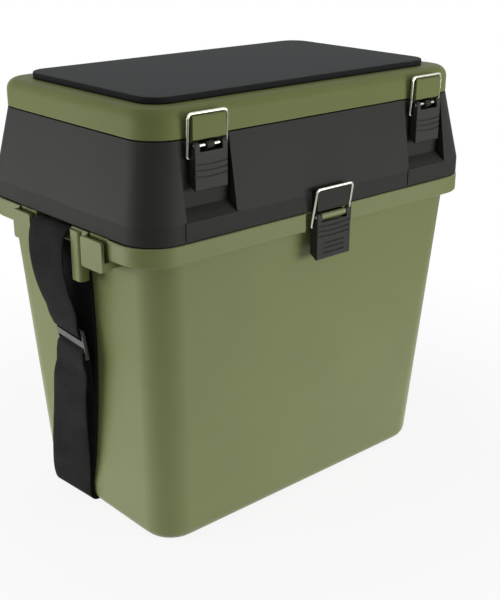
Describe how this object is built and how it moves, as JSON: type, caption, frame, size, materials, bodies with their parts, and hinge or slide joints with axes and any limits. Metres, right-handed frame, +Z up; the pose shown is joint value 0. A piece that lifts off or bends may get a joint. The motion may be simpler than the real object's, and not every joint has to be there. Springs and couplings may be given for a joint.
{
  "type": "fishing seat box",
  "caption": "Fishing seat box: a deep olive tub, a charcoal hinged tray section and a padded olive lid, shut by draw latches, with a webbing strap.",
  "frame": {"origin": "on the floor under the middle of the tub's base", "axes": "+X along the length to the right of someone who faces the latches, +Y from the latches to the hinges at the back, +Z up"},
  "size_m": [0.4, 0.2555, 0.3802],
  "materials": {
    "olive_plastic": "fine moulded grain",
    "charcoal_plastic": "fine moulded grain",
    "black_plastic": "satin",
    "foam_pad": "closed-cell foam",
    "webbing": "woven webbing",
    "steel": "bright plated wire"
  },
  "bodies": {
    "tub": {"tub": "olive_plastic", "carry_strap": "webbing", "strap_slider": "black_plastic", "latch_pin_centre": "steel", "tray_hinge_pin_left": "steel", "tray_hinge_pin_right": "steel"},
    "tray": {"tray_section": "charcoal_plastic", "tray_divider_left": "charcoal_plastic", "tray_divider_right": "charcoal_plastic", "lid_hinge_pin_left": "steel", "lid_hinge_pin_right": "steel", "latch_pin_left": "steel", "latch_pin_right": "steel"},
    "lid": {"lid": "olive_plastic", "seat_pad": "foam_pad"},
    "lever_left": {"latch_lever_left": "charcoal_plastic"},
    "bail_left": {"latch_bail_left": "steel"},
    "lever_right": {"latch_lever_right": "charcoal_plastic"},
    "bail_right": {"latch_bail_right": "steel"},
    "lever_centre": {"latch_lever_centre": "charcoal_plastic"},
    "bail_centre": {"latch_bail_centre": "steel"}
  },
  "joints": [
    {"name": "tray_hinge", "type": "hinge", "parent": "tub", "child": "tray", "pos_m": [0, 0.1245, 0.269], "axis": [-1, 0, 0], "range_deg": [0, 100]},
    {"name": "lid_hinge", "type": "hinge", "parent": "tray", "child": "lid", "pos_m": [0, 0.1145, 0.349], "axis": [-1, 0, 0], "range_deg": [0, 105]},
    {"name": "latch_left", "type": "hinge", "parent": "tray", "child": "lever_left", "pos_m": [-0.125, -0.1138, 0.3462], "axis": [-1, 0, 0], "range_deg": [0, 120]},
    {"name": "bail_swing_left", "type": "hinge", "parent": "lever_left", "child": "bail_left", "pos_m": [-0.125, -0.1112, 0.3372], "axis": [1, 0, 0], "range_deg": [0, 180]},
    {"name": "latch_right", "type": "hinge", "parent": "tray", "child": "lever_right", "pos_m": [0.125, -0.1138, 0.3462], "axis": [-1, 0, 0], "range_deg": [0, 120]},
    {"name": "bail_swing_right", "type": "hinge", "parent": "lever_right", "child": "bail_right", "pos_m": [0.125, -0.1112, 0.3372], "axis": [1, 0, 0], "range_deg": [0, 180]},
    {"name": "latch_centre", "type": "hinge", "parent": "tub", "child": "lever_centre", "pos_m": [0, -0.122, 0.2706], "axis": [-1, 0, 0], "range_deg": [0, 120]},
    {"name": "bail_swing_centre", "type": "hinge", "parent": "lever_centre", "child": "bail_centre", "pos_m": [0, -0.1194, 0.2616], "axis": [1, 0, 0], "range_deg": [0, 180]}
  ],
  "couplings": [
    {"joint": "bail_swing_left", "follows": "latch_left", "ratio": 1.5},
    {"joint": "bail_swing_right", "follows": "latch_right", "ratio": 1.5},
    {"joint": "bail_swing_centre", "follows": "latch_centre", "ratio": 1.5}
  ]
}
